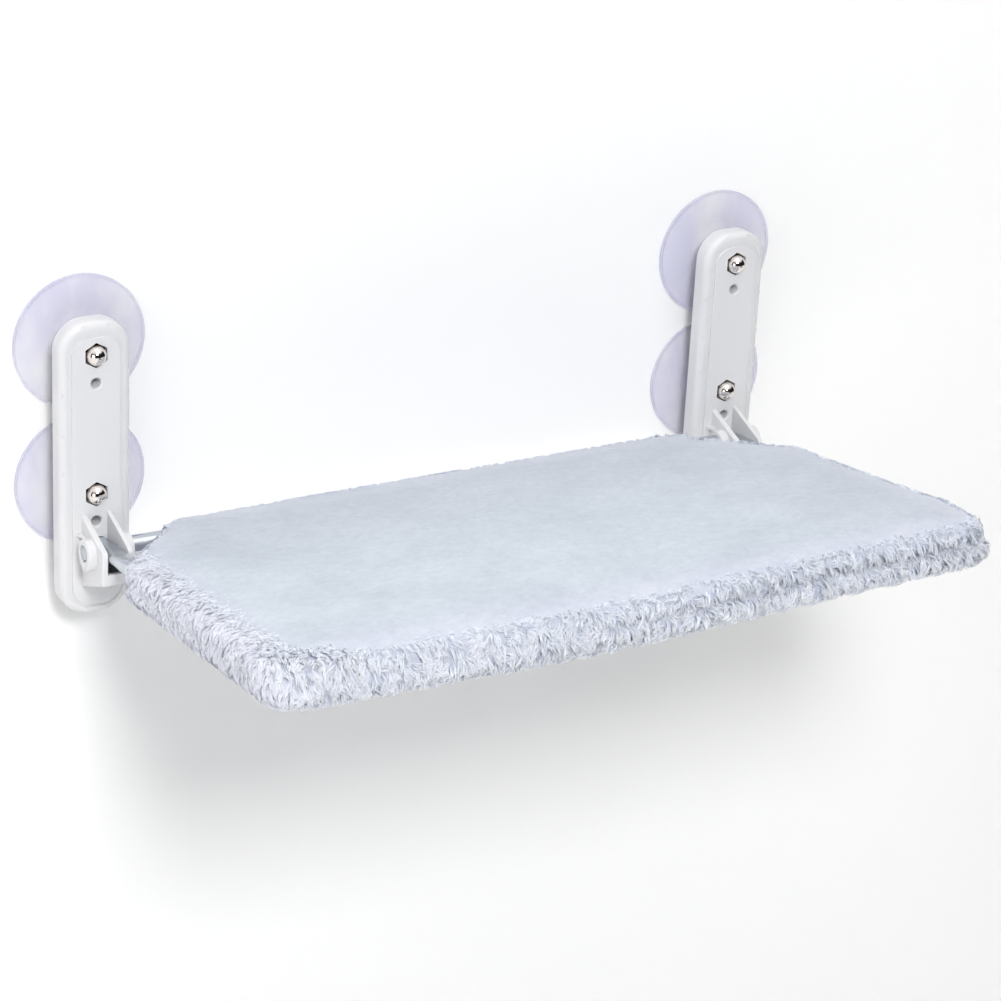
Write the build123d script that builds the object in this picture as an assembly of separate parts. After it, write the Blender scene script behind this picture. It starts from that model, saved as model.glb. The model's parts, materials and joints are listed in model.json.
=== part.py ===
from build123d import *
import os
from math import hypot, sqrt

os.makedirs("parts", exist_ok=True)

# Window mounted cat perch, folding, held by four suction cups. Lengths are in millimetres.
# X runs along the window, Y points into the glass and Z is up. The glass is the plane Y = 0.
# The origin lies on the glass, at the centre of the four suction cups.
# A depth is measured from the glass into the room. A place on the bed is given before the bed
# is tilted, as a reach out from the hinge pin's axis and a height over it.

# Layout on the glass
bracket_spacing = 454.0
cup_spacing = 90.0

# Fits
running_gap = 0.05       # radial, a pin in its hole
seat_gap = 0.3           # a moving piece beside a fixed one
close_gap = 0.1          # pieces that fill each other and move together
overrun = 2.0            # how far a cutter runs past what it cuts
embed = 0.8              # how far a joined form reaches into what carries it

# Suction cup, pressed flat
cup_diameter = 85.0
cup_rim = 1.8            # thickness of the bead round the lip
cup_rim_width = 2.2
cup_lip = 1.3            # thickness just inside the bead
cup_shoulder = 3.4       # thickness where the disc starts to rise to the neck
cup_shoulder_radius = 21.0
cup_neck_diameter = 22.0
cup_neck_root = 8.0      # depth where the neck becomes straight
cup_dish_radius = 31.0   # hollow that the suction leaves in the middle
cup_dish = 0.8

# Threaded stud moulded into each cup
stud_diameter = 8.0
stud_head_diameter = 17.0
stud_head = 2.2
stud_head_depth = 3.0
stud_in_nut = 9.0        # length of stud inside the nut

# Domed cap nut
nut_flats = 13.0
nut_hex = 6.5
nut_neck = 2.2           # straight part under the dome
nut_dome_diameter = 12.4
nut_chamfer = 0.6
nut_blind = 0.6          # free depth past the end of the stud

# Bracket housing
bracket_width = 46.0
bracket_over_nut = 20.8  # housing above the upper nut
bracket_under_nut = 80.0 # housing below the lower nut
bracket_corner = 19.0
bracket_back = 15.0      # depth of the open back
bracket_front = 27.4     # depth of the border round the panel
bracket_edge = 4.5
bracket_wall = 2.6
panel_rise = 0.8
panel_width = 31.5
panel_over_nut = 11.5
panel_under_nut = 72.8
panel_corner = 11.5
panel_edge = 0.4
panel_groove = 0.5       # depth of the groove round the panel
panel_groove_width = 2.3
nut_pocket_flats = 14.0
nut_pocket_floor = 4.4
nut_boss_diameter = 21.0
spare_hole_diameter = 6.5
spare_hole_drop = 17.9   # below each nut
spare_hole_chamfer = 0.9
spare_boss_diameter = 11.0
rib = 1.8
rib_setback = 1.0        # ribs stop this far inside the open back
rib_height_shares = (0.1, 0.27, 0.5, 0.63, 0.77)

# Clevis at the lower end of the bracket
hinge_depth = 44.0       # depth of the pin axis
hinge_drop = 30.5        # pin axis below the lower nut
ear_gap = 13.3
ear_thickness = 3.3
ear_top_rise = 18.5
ear_root_drop = 29.7
ear_nose_reach = 18.2    # of the upper front corner, out from the pin
ear_nose_lean = 1.2      # the lower front corner stands back by this much
ear_nose_rise = 5.8
ear_nose_drop = 15.8
ear_nose_radius = 4.0
ear_edge = 1.2           # rounding of each ear's outer front edge
clevis_floor = 3.2
clevis_lip = 7.0         # height of the lip along the floor's front edge
clevis_lip_thickness = 2.6
boss_proud = 5.3         # bosses stand this far out from the ears
boss_diameter = 17.6
boss_drop = 2.4          # and are drawn out this far downwards
boss_edge = 1.2
head_pocket_diameter = 10.6
head_pocket_depth = 3.2
gusset_rise = 6.5        # small level web above each boss, over the pin
gusset_thickness = 1.6
gusset_width = 4.4
gusset_length = 8.0

# Hinge bolt
bolt_diameter = 5.0
bolt_flats = 8.0
bolt_head = 3.0
bolt_head_chamfer = 0.4
bolt_in_plug = 16.0

# Cross tube and its threaded plugs
tube_diameter = 12.7
tube_wall = 1.2
plug_length = 20.0

# Frame tube, with its two ends pressed flat. They keep the tube's width.
flat_height = 8.0
flat_reach = 22.0        # the pressed part ends this far out from the pin
round_reach = 40.0       # the tube is round again this far out
frame_bend = 30.0
round_flat = 0.1         # straight left between the arcs of a round section

# Heel plug in each pressed end
heel_flange = 2.2
heel_spigot = 7.0

# Cushion cover
rest_tilt = 7.0          # degrees, front edge higher
bed_side = 15.0          # cover's edge outside the bracket's centre line
bed_front_reach = 264.3  # front edge, out from the pin
bed_rear_reach = 16.6    # rear edge, behind the pin
bed_top = 9.8            # edge of the top face, over the pin
bed_bottom = 17.0        # underside, below the pin
bed_crease = 2.6         # crease between the two rolls, below the pin
bed_crease_fill = 0.7    # each roll reaches past the crease by this much
bed_front_corner = 27.0
bed_side_corner = 24.0
bed_rear_corner = 9.0
bed_notch_width = 64.0   # rear corners are cut off, this far along the window
bed_notch_reach = 72.6   # and this far out from the rear edge
upper_inset = 1.6        # the upper roll stands back from the lower one
upper_roll = 5.8
lower_roll = 6.6
crown = 1.2
crown_edge = 6.6         # the crown starts this far in from the upper roll's edge
crown_run = 62.0         # and is level this far in
inner_corner = 5.0       # least radius of an outline that is drawn in
cover_side = 7.0
sleeve_gap = 0.5

# Sling round the tubes, and the foam on it
cloth = 1.2
rear_hem_margin = 4.0    # the rear hem ends this far inside the cover's rear edge
side_hem_start = 62.0    # out from the pin
hem_margin = 6.0         # side and front hems end this far short of the bends
foam_rear_gap = 1.2

# Zip in the underside
zip_length = 300.0
zip_width = 13.0
zip_tape = 1.1
zip_reach = 34.0         # out from the pin
coil_width = 3.4
coil_height = 0.9
slider_length = 9.0
slider_width = 7.4
slider_plate = 0.9
pull_length = 16.0
pull_width = 5.0
pull_thickness = 1.0
pull_hole = 2.4

# Places worked out from the sizes
bracket_x = bracket_spacing / 2
nut_heights = (cup_spacing / 2, -cup_spacing / 2)
lower_nut = -cup_spacing / 2
housing_top = cup_spacing / 2 + bracket_over_nut
housing_bottom = lower_nut - bracket_under_nut
panel_front = bracket_front + panel_rise
pocket_floor = bracket_back + nut_pocket_floor
pin_z = lower_nut - hinge_drop
pin_y = -hinge_depth
ear_inner = ear_gap / 2
ear_outer = ear_inner + ear_thickness
boss_face = ear_outer + boss_proud
heel_reach = hinge_depth - panel_front
tube_bore = tube_diameter - 2 * tube_wall
side_edge = bracket_x + bed_side
front_tube_reach = bed_front_reach - bed_side
hem_bore = tube_diameter + 2 * close_gap
hem_diameter = hem_bore + 2 * cloth
rear_hem_bore = tube_diameter + 2 * seat_gap
rear_hem_diameter = rear_hem_bore + 2 * cloth
pocket_height = rear_hem_diameter / 2 + close_gap


def room_plane(depth):
    """Plane parallel to the glass that faces the room."""
    return Plane.XZ.offset(depth)


def bed_plane(x, reach):
    """Plane level with the pin that faces out from the window, as long as the bed is flat."""
    return Plane(origin=(x, pin_y - reach, pin_z), x_dir=(1, 0, 0), z_dir=(0, -1, 0))


def pin_plane(x):
    """Plane across the pin's axis that faces along X."""
    return Plane(origin=(x, pin_y, pin_z), x_dir=(0, 1, 0), z_dir=(1, 0, 0))


def level_plane(height):
    """Level plane over the pin. Its own Y is the reach, so its X runs to the left."""
    return Plane(origin=(0, pin_y, pin_z + height), x_dir=(-1, 0, 0), z_dir=(0, 0, 1))


def tilted(piece):
    """Turns a piece of the bed about the pin to its resting angle."""
    return piece.rotate(Axis((0, pin_y, pin_z), (1, 0, 0)), -rest_tilt)


def on_left(piece):
    return Pos(-bracket_x, 0, 0) * piece


def on_right(piece):
    return Pos(bracket_x, 0, 0) * mirror(piece, Plane.YZ)


def both_sides(piece):
    return piece + mirror(piece, Plane.YZ)


def rod(plane, diameter, length):
    return extrude(plane * Circle(diameter / 2), length)


def hexagon(flats):
    """Hexagon with a corner at the top."""
    return RegularPolygon(flats / sqrt(3), 6, rotation=90)


def foremost(piece):
    """Face of a piece that stands furthest into the room."""
    return piece.faces().sort_by(Axis.Y)[0]


def suction_cup():
    """Disc pressed flat on the glass, turned about its stud, with the stud's place left free."""
    radius = cup_diameter / 2
    neck = cup_neck_diameter / 2
    outline = Polyline(
        (0, -cup_dish),
        (cup_dish_radius - cup_dish, -cup_dish),
        (cup_dish_radius, 0),
        (radius, 0),
        (radius, -cup_rim),
        (radius - cup_rim_width, -cup_rim),
        (radius - cup_rim_width, -cup_lip),
        (cup_shoulder_radius, -cup_shoulder),
        (neck, -cup_neck_root),
        (neck, -bracket_back),
        (0, -bracket_back),
        (0, -cup_dish),
    )
    return revolve(make_face(outline), Axis.Y) - cup_stud()


def cup_stud():
    """Stud with a round head that is moulded into the cup."""
    length = pocket_floor + stud_in_nut - stud_head_depth
    head = rod(room_plane(stud_head_depth), stud_head_diameter, stud_head)
    return head + rod(room_plane(stud_head_depth), stud_diameter, length)


def cap_nut():
    """Domed nut that sits in the bracket's pocket and can't turn there."""
    corners = 2 * nut_flats / sqrt(3)
    blank = rod(room_plane(pocket_floor), corners, nut_hex)
    blank = chamfer(foremost(blank).edges(), nut_chamfer)
    base = blank & extrude(room_plane(pocket_floor) * hexagon(nut_flats), nut_hex)
    side = nut_dome_diameter / 2
    front = -pocket_floor - nut_hex
    shoulder = front - nut_neck
    outline = CenterArc((0, shoulder), side, -90, 90)
    outline += Polyline((side, shoulder), (side, front), (0, front), (0, shoulder - side))
    dome = revolve(make_face(outline), Axis.Y)
    bore = rod(room_plane(pocket_floor), stud_diameter + 2 * running_gap, stud_in_nut + nut_blind)
    return base + dome - bore


def upright_slab(width, top, bottom, corner, depth, thickness):
    """Slab with round corners that starts at a depth and grows into the room."""
    outline = Pos(0, (top + bottom) / 2) * RectangleRounded(width, top - bottom, corner)
    return extrude(room_plane(depth) * outline, thickness)


def housing_core(margin, depth, thickness):
    """The housing's outline drawn in by a margin."""
    return upright_slab(
        bracket_width - 2 * margin,
        housing_top - margin,
        housing_bottom + margin,
        bracket_corner - margin,
        depth,
        thickness,
    )


def panel_slab(margin, depth, thickness):
    """The panel's outline drawn out by a margin."""
    return upright_slab(
        panel_width + 2 * margin,
        cup_spacing / 2 + panel_over_nut + margin,
        lower_nut - panel_under_nut - margin,
        panel_corner + margin,
        depth,
        thickness,
    )


def housing_stiffening():
    """Ribs, nut bosses and spare hole bosses inside the housing."""
    depth = panel_front - bracket_wall / 2 - bracket_back
    height = housing_top - housing_bottom
    middle = (housing_top + housing_bottom) / 2
    rib_depth = depth - rib_setback
    rib_start = room_plane(bracket_back + rib_setback)
    ribs = Sketch()
    for x in (-(ear_inner + ear_outer) / 2, (ear_inner + ear_outer) / 2):
        ribs += Pos(x, middle) * Rectangle(rib, height)
    for share in rib_height_shares:
        ribs += Pos(0, housing_bottom + share * height) * Rectangle(bracket_width, rib)
    stiffening = extrude(rib_start * ribs, rib_depth)
    for z in nut_heights:
        stiffening += Pos(0, 0, z) * rod(room_plane(bracket_back), nut_boss_diameter, depth)
        spare = rod(room_plane(bracket_back), spare_boss_diameter, depth)
        stiffening += Pos(0, 0, z - spare_hole_drop) * spare
    return stiffening & housing_core(bracket_wall / 2, bracket_back, depth)


def housing():
    """Moulded box, open at the back, with a raised panel in a shallow groove."""
    depth = bracket_front - bracket_back
    shell = housing_core(0, bracket_back, depth)
    shell = fillet(foremost(shell).edges(), bracket_edge)
    groove_floor = bracket_front - panel_groove
    groove = panel_slab(panel_groove_width, groove_floor, panel_groove + overrun)
    panel = panel_slab(0, groove_floor - embed, embed + panel_groove + panel_rise)
    panel = fillet(foremost(panel).edges(), panel_edge)
    hollow = housing_core(bracket_wall, bracket_back - overrun, depth - bracket_wall + overrun)
    hollow = fillet(foremost(hollow).edges(), bracket_edge - bracket_wall)
    return shell - groove + panel - hollow + housing_stiffening()


def clevis():
    """Two ears with round bosses, joined by a floor with a lip, and small webs beside them."""
    root = hinge_depth - panel_front + embed
    nose = -ear_nose_reach
    low_nose = nose + ear_nose_lean
    ear_outline = Polyline(
        (root, ear_top_rise),
        (nose, ear_nose_rise),
        (low_nose, -ear_nose_drop),
        (root, -ear_root_drop),
        (root, ear_top_rise),
    )
    floor_slope = (ear_root_drop - ear_nose_drop) / (root - low_nose)
    inner_nose = low_nose + clevis_lip_thickness
    inner_drop = ear_nose_drop + clevis_lip_thickness * floor_slope - clevis_floor
    floor_outline = Polyline(
        (root, -ear_root_drop),
        (low_nose, -ear_nose_drop),
        (low_nose, clevis_lip - ear_nose_drop),
        (inner_nose, clevis_lip - ear_nose_drop),
        (inner_nose, -inner_drop),
        (root, clevis_floor - ear_root_drop),
        (root, -ear_root_drop),
    )
    web_outline = Polyline(
        (ear_inner, panel_front - embed),
        (ear_outer + gusset_width, panel_front - embed),
        (ear_outer, panel_front + gusset_length),
        (ear_inner, panel_front + gusset_length),
        (ear_inner, panel_front - embed),
    )
    ear = extrude(pin_plane(ear_inner) * make_face(ear_outline), ear_thickness)
    nose_edges = ear.edges().filter_by(Axis.X).sort_by(Axis.Y)[:2]
    ear = fillet(nose_edges.sort_by(Axis.Z)[-1], ear_nose_radius)
    outer_edges = ear.faces().sort_by(Axis.X)[-1].edges().sort_by(Axis.Y)[:3]
    ear = fillet(outer_edges, ear_edge)
    boss_outline = Rot(0, 0, 90) * SlotCenterToCenter(boss_drop, boss_diameter)
    boss_middle = Pos(0, -boss_drop / 2)
    boss = extrude(pin_plane(ear_inner) * boss_middle * boss_outline, ear_thickness + boss_proud)
    boss = fillet(boss.faces().sort_by(Axis.X)[-1].edges(), boss_edge)
    web_plane = Plane(
        origin=(0, 0, pin_z + gusset_rise),
        x_dir=(1, 0, 0),
        z_dir=(0, 0, -1),
    )
    web = extrude(web_plane * make_face(web_outline), gusset_thickness)
    floor = extrude(pin_plane(-ear_inner) * make_face(floor_outline), ear_gap)
    return both_sides(ear + boss + web) + floor


def bracket():
    """Left bracket about its own centre line, with its holes cut. The bolt head is on the left."""
    body = housing() + clevis()
    for z in nut_heights:
        pocket = extrude(room_plane(pocket_floor) * hexagon(nut_pocket_flats), panel_front)
        shank = rod(room_plane(0), stud_diameter + 2 * seat_gap, panel_front)
        body -= Pos(0, 0, z) * (pocket + shank)
        spare = rod(room_plane(0), spare_hole_diameter, panel_front + overrun)
        flare_start = room_plane(panel_front - spare_hole_chamfer)
        flare = Cone(
            spare_hole_diameter / 2,
            spare_hole_diameter / 2 + 2 * spare_hole_chamfer,
            2 * spare_hole_chamfer,
            align=(Align.CENTER, Align.CENTER, Align.MIN),
        )
        body -= Pos(0, 0, z - spare_hole_drop) * (spare + flare_start.location * flare)
    pin_hole = rod(
        pin_plane(-boss_face - overrun),
        bolt_diameter + 2 * running_gap,
        2 * (boss_face + overrun),
    )
    head_pocket = rod(
        pin_plane(-boss_face - overrun), head_pocket_diameter, head_pocket_depth + overrun
    )
    return body - pin_hole - head_pocket


def hinge_bolt():
    """Hexagon head bolt from the sunk pocket through both ears into the cross tube's plug."""
    seat = head_pocket_depth - boss_face
    head = extrude(pin_plane(seat) * hexagon(bolt_flats), -bolt_head)
    blank = rod(pin_plane(seat), 2 * bolt_flats / sqrt(3), -bolt_head)
    blank = chamfer(blank.faces().sort_by(Axis.X)[0].edges(), bolt_head_chamfer)
    return (head & blank) + rod(pin_plane(seat), bolt_diameter, boss_face - seat + bolt_in_plug)


def tube_plug():
    """Threaded plug pressed into the left end of the cross tube, seen from the left bracket."""
    body = rod(pin_plane(boss_face), tube_bore, plug_length)
    return body - rod(pin_plane(boss_face), bolt_diameter + 2 * running_gap, plug_length)


def cross_tube():
    length = bracket_spacing - 2 * boss_face
    start = pin_plane(-length / 2)
    return rod(start, tube_diameter, length) - rod(start, tube_bore, length)


def oval(width, height):
    """Section with round sides. A round one has the same eight edges, so the two can be joined."""
    return RectangleRounded(width, height, min(width, height) / 2 - round_flat / 2)


def half_frame(wall):
    """Right half of the frame, from the pressed end to the middle of the front, drawn in by a wall."""
    diameter = tube_diameter - 2 * wall
    pressed = oval(diameter, flat_height - 2 * wall)
    start = heel_flange - heel_reach
    flat = extrude(bed_plane(bracket_x, start) * pressed, flat_reach - start)
    blend = loft(
        [
            bed_plane(bracket_x, flat_reach) * pressed,
            bed_plane(bracket_x, round_reach) * oval(diameter, diameter),
        ],
        ruled=True,
    )
    bend_reach = front_tube_reach - frame_bend
    side = rod(bed_plane(bracket_x, round_reach), diameter, bend_reach - round_reach)
    turn_axis = Axis((bracket_x - frame_bend, pin_y - bend_reach, pin_z), (0, 0, 1))
    bend = revolve(bed_plane(bracket_x, bend_reach) * Circle(diameter / 2), turn_axis, -90)
    front_plane = pin_plane(0)
    front_plane.origin -= Vector(0, front_tube_reach, 0)
    front = rod(front_plane, diameter, bracket_x - frame_bend)
    return flat + blend + side + bend + front


def frame_tube():
    """Bent tube with flattened, cross drilled ends, level with the hinge pins."""
    outside = both_sides(half_frame(0))
    inside = both_sides(half_frame(tube_wall))
    hole = rod(pin_plane(-side_edge), bolt_diameter + 2 * running_gap, 2 * side_edge)
    return outside - inside - hole


def heel_plug():
    """Plug in a pressed tube end. Its upright heel rests on the bracket when the bed is down."""
    flange_start = heel_flange - heel_reach
    flange_plane = bed_plane(0, flange_start)
    flange = extrude(flange_plane * oval(tube_diameter, flat_height), -2 * heel_flange)
    bore_width = tube_bore - 2 * close_gap
    bore_height = flat_height - 2 * tube_wall - 2 * close_gap
    spigot = extrude(flange_plane * oval(bore_width, bore_height), heel_spigot)
    plug = tilted(flange + spigot)
    beyond = extrude(
        room_plane(panel_front + seat_gap) * Pos(0, pin_z) * Rectangle(bracket_width, bracket_width),
        -panel_front,
    )
    return plug - beyond


def bed_outline(inset, corner_limit):
    """The bed's outline from above, drawn in, with its rear corners cut off for the hinges."""
    cut = hypot(bed_notch_width, bed_notch_reach)
    rear = inset - bed_rear_reach
    side = side_edge - inset
    front = bed_front_reach - inset
    rear_x = side_edge - bed_notch_width - inset * (cut - bed_notch_width) / bed_notch_reach
    side_reach = bed_notch_reach - bed_rear_reach
    side_reach += inset * (cut - bed_notch_reach) / bed_notch_width
    right = [(rear_x, rear), (side, side_reach), (side, front)]
    left = [(-x, reach) for x, reach in reversed(right)]
    corners = [bed_rear_corner, bed_side_corner, bed_front_corner]
    radii = [max(corner - inset, corner_limit) for corner in corners]
    return make_face(FilletPolyline(*right, *left, radius=radii + radii[::-1], close=True))


def bed_slab(inset, corner_limit, bottom, top):
    return extrude(level_plane(bottom) * bed_outline(inset, corner_limit), top - bottom)


def cushion_form():
    """Two rolls, one on the other, with a low crown on top."""
    upper = bed_slab(upper_inset, inner_corner, -bed_crease - bed_crease_fill, bed_top)
    upper = fillet(upper.faces().sort_by(Axis.Z)[-1].edges(), upper_roll)
    upper = fillet(upper.faces().sort_by(Axis.Z)[0].edges(), upper_roll)
    lower = bed_slab(0, inner_corner, -bed_bottom, bed_crease_fill - bed_crease)
    lower = fillet(lower.faces().sort_by(Axis.Z)[-1].edges(), lower_roll)
    lower = fillet(lower.faces().sort_by(Axis.Z)[0].edges(), lower_roll)
    low_ring = level_plane(bed_top) * bed_outline(upper_inset + crown_edge, inner_corner)
    high_ring = level_plane(bed_top + crown) * bed_outline(upper_inset + crown_run, inner_corner)
    return upper + lower + loft([low_ring, high_ring], ruled=True)


def cushion_cover():
    """Plush cover round the frame, open where the tubes enter, with a channel for the zip."""
    pocket = bed_slab(cover_side, inner_corner, -pocket_height, pocket_height)
    sleeve_start = pin_plane(-side_edge)
    sleeve = rod(sleeve_start, rear_hem_diameter + 2 * close_gap, 2 * side_edge)
    entry = extrude(
        bed_plane(bracket_x, 0) * RectangleRounded(
            tube_diameter + 2 * sleeve_gap,
            tube_diameter + 2 * sleeve_gap,
            tube_diameter / 2,
        ),
        bed_notch_reach,
    )
    channel = zip_block(zip_length + 2 * close_gap, zip_width + 2 * close_gap, 0, zip_tape)
    return tilted(cushion_form() - pocket - sleeve - both_sides(entry) - channel)


def zip_block(length, width, low, high):
    """Block along the zip, between two heights over the underside."""
    plane = level_plane(low - bed_bottom)
    return extrude(plane * Pos(0, zip_reach) * Rectangle(length, width), high - low)


def cover_zip():
    tape = zip_block(zip_length, zip_width, 0, zip_tape)
    return tilted(tape + zip_block(zip_length, coil_width, -coil_height, 0))


def zip_slider():
    """Slider at the left end of the zip, straddling the coil, with its pull tab lying along it."""
    depth = coil_height + seat_gap
    body = zip_block(slider_length, slider_width, -depth - slider_plate, -seat_gap)
    groove = zip_block(2 * slider_length, coil_width + 2 * seat_gap, -depth, zip_tape)
    pull_top = -depth - slider_plate
    pull = zip_block(pull_length, pull_width, pull_top - pull_thickness, pull_top)
    eye = rod(level_plane(pull_top - bed_bottom - overrun), pull_hole, 2 * overrun)
    pull -= Pos(pull_length / 2 - pull_hole, -zip_reach, 0) * eye
    slider = body - groove + Pos(pull_length / 2 - slider_length / 2, 0, 0) * pull
    start = (slider_length - zip_length) / 2
    return tilted(Pos(start, 0, 0) * slider)


def support_sling():
    """Cloth below the tubes, with hems round them. The rear hem turns on the cross tube."""
    sheet = bed_slab(bed_side, frame_bend, -hem_diameter / 2, -hem_bore / 2)
    ahead = extrude(
        level_plane(-hem_diameter) * Rectangle(
            2 * side_edge, bed_front_reach, align=(Align.CENTER, Align.MIN)
        ),
        2 * hem_diameter,
    )
    side_hem_end = front_tube_reach - frame_bend - hem_margin
    side_start = bed_plane(bracket_x, side_hem_start)
    side_length = side_hem_end - side_hem_start
    front_half = bracket_x - frame_bend - hem_margin
    front_start = pin_plane(-front_half)
    front_start.origin -= Vector(0, front_tube_reach, 0)
    rear_half = side_edge - bed_notch_width - rear_hem_margin
    rear_start = pin_plane(-rear_half)
    hems = both_sides(rod(side_start, hem_diameter, side_length))
    hems += rod(front_start, hem_diameter, 2 * front_half)
    hems += rod(rear_start, rear_hem_diameter, 2 * rear_half)
    bores = both_sides(rod(side_start, hem_bore, side_length))
    bores += rod(front_start, hem_bore, 2 * front_half)
    bores += rod(rear_start, rear_hem_bore, 2 * rear_half)
    return tilted((sheet & ahead) + hems - bores)


def foam_core():
    """Foam between the tubes, on the sling."""
    edge = hem_diameter / 2 + close_gap
    slab = bed_slab(bed_side + edge, frame_bend - edge, close_gap - hem_bore / 2, hem_diameter / 2)
    rear_edge = rear_hem_diameter / 2 + foam_rear_gap
    ahead = extrude(
        level_plane(-hem_diameter) * Pos(0, rear_edge) * Rectangle(
            2 * side_edge, bed_front_reach, align=(Align.CENTER, Align.MIN)
        ),
        2 * hem_diameter,
    )
    return tilted(slab & ahead)


def four_times(piece):
    """A group of separate pieces, one at each suction cup."""
    places = [(x, z) for x in (-bracket_x, bracket_x) for z in nut_heights]
    return Compound(children=[Pos(x, 0, z) * piece for x, z in places])


nodes = {
    "bracket_left": on_left(bracket()),
    "bracket_right": on_right(bracket()),
    "cup_studs": four_times(cup_stud()),
    "cap_nuts": four_times(cap_nut()),
    "hinge_bolt_left": on_left(hinge_bolt()),
    "hinge_bolt_right": on_right(hinge_bolt()),
    "cross_tube": cross_tube(),
    "tube_plug_left": on_left(tube_plug()),
    "tube_plug_right": on_right(tube_plug()),
    "frame_tube": tilted(frame_tube()),
    "heel_plug_left": on_left(heel_plug()),
    "heel_plug_right": on_right(heel_plug()),
    "support_sling": support_sling(),
    "foam_core": foam_core(),
    "cushion_cover": cushion_cover(),
    "cover_zip": cover_zip(),
    "zip_slider": zip_slider(),
}
for side, x in (("left", -bracket_x), ("right", bracket_x)):
    for level, z in zip(("upper", "lower"), nut_heights):
        nodes[f"suction_cup_{level}_{side}"] = Pos(x, 0, z) * suction_cup()

for name, piece in nodes.items():
    export_step(piece, f"parts/{name}.step")
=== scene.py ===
import json
from math import cos, hypot, pi, radians, sin

import bmesh
import bpy
import numpy as np
from mathutils import Matrix, Vector, noise


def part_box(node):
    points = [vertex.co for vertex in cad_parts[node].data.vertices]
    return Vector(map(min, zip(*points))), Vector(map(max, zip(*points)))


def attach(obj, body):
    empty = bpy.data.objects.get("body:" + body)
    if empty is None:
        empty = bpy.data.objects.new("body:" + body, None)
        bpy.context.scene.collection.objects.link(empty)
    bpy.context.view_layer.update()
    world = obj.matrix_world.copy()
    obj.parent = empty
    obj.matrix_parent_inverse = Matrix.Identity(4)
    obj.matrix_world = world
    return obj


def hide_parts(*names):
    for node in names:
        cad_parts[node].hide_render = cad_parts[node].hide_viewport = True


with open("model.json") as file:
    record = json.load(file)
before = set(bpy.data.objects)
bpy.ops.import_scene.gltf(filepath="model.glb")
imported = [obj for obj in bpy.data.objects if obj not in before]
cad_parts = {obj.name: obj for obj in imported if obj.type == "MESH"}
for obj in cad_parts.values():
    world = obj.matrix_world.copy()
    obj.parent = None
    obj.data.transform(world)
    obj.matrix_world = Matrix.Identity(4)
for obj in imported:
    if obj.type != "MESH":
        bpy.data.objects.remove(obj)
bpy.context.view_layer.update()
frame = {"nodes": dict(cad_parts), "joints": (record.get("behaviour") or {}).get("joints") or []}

# A window perch with a plush pad. Lengths are in metres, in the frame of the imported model:
# X runs along the window, Y points into the glass, and Z is up.
# A place on the bed is (x, reach, height): reach is measured out from the hinge pins, height is
# over them, and the bed is then tilted about the pins to its resting angle.

# View of the photograph
image_size = 1001
sensor_width = 36.0
focal_length = 3173.2  # in pixels
camera_place = (-0.9019, -1.6746, 0.7306)
camera_yaw = 0.52707  # radians, to the right of +Y
camera_pitch = 0.40983  # below level
camera_roll = 0.05282

# Bed, as in the solids
rest_tilt = 7.0  # degrees
bed_front_reach = 0.2643
bed_rear_reach = 0.0166
bed_notch_width = 0.064
bed_notch_reach = 0.0726
bed_front_corner = 0.027
bed_side_corner = 0.024
bed_rear_corner = 0.009
bed_bottom = 0.017
bed_crease = 0.0026
bed_side = 0.015  # from the side tube's centre line to the cover's edge
cup_radius = 0.0425
painted_shade_depth = 0.0265  # from the glass to just past the cap nuts' hexagons, which are painted dark brown as shade
cloth = 0.0010  # thickness of the sleeves
tiny = 1e-9  # keeps a length that is divided by over zero
tight_corner = 0.004  # least radius of an outline that is drawn in
arc_steps = 7  # points on each corner
side_step = 0.007  # largest distance between points on a straight side

# How the soft pad lies on its frame. Each grows towards the front edge.
pad_growth = 0.0085  # its right side stands out by this much
pad_low_growth = 0.0030  # and the lower half of that side by this much more
pad_bow = 0.0035  # its front edge bows out
pad_bow_middle = -0.06
pad_bow_spread = 0.13
pad_lift = 0.0060  # the top of its right front corner is higher
pad_sag = 0.0032  # and its lower half hangs down by this much
pad_belly = 0.0016  # and by this much more where it bows out
pad_low_lift = 0.0047  # but less at the right
pad_low_start = 0.0060  # the lower half starts under this height
pad_low_end = -0.0120

# Skin of the cover, under its pile
# It is round at the front and left, under long pile, and crisp at the rear and along the right side.
skin_side = (0.0026, 0.0002)  # the skin stands back from the bed's edge by this much
skin_upper = (0.0010, 0.0002)  # and its upper half by this much more
skin_high = (0.0092, 0.0098)  # top of the skin at its rim
skin_round = (0.0095, 0.0050)  # depth of the rounded side
skin_round_power = (2.6, 2.2)
skin_top = 0.0116  # top of the skin in the middle
skin_low = 0.0160  # underside
top_insets = (0.110, 0.080, 0.062, 0.046, 0.034, 0.025, 0.018, 0.0145)
top_rise_shares = (1.0, 1.0, 0.96, 0.86, 0.68, 0.44, 0.2, 0.07)
side_rows = 6  # above the widest place, and as many below it
under_insets = (0.010, 0.030, 0.060, 0.095)
crisp_rear = (0.030, 0.075)  # reach over which the rear's crisp edge ends
crisp_right = (0.15, 0.20)  # x over which the right side's starts
crisp_front = (0.2093, 0.2443)  # and reach over which it ends
skin_cell = 0.0042  # size of the remeshed faces
stuffing_cap = 0.0012
stuffing_pressure = 4.0
stuffing_frames = 20
dent_size = 0.055
dent_depth = 0.0006
dent_start = (0.020, 0.040)  # distances from the edge
nap_far_reach = (0.0, 0.16)  # the nap is darker towards the rear
nap_far_x = (0.06, 0.24)  # and towards the right
rim_band = (0.008, 0.036)  # and lighter this close to the edge
rim_height = 0.006
crease_depth = 0.0040
crease_half_width = 0.0042
crease_end = (0.010, 0.016)  # distances from the edge
crease_x = (-0.10, 0.10)  # it is shallow on the left, and deepens over these places
crease_least_share = 0.12
base_inset = 0.0150  # the woven base starts this far in
base_margin = 0.0012
base_thread = 0.0009
seam_radius = 0.0008
seam_thread = 0.0006

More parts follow.
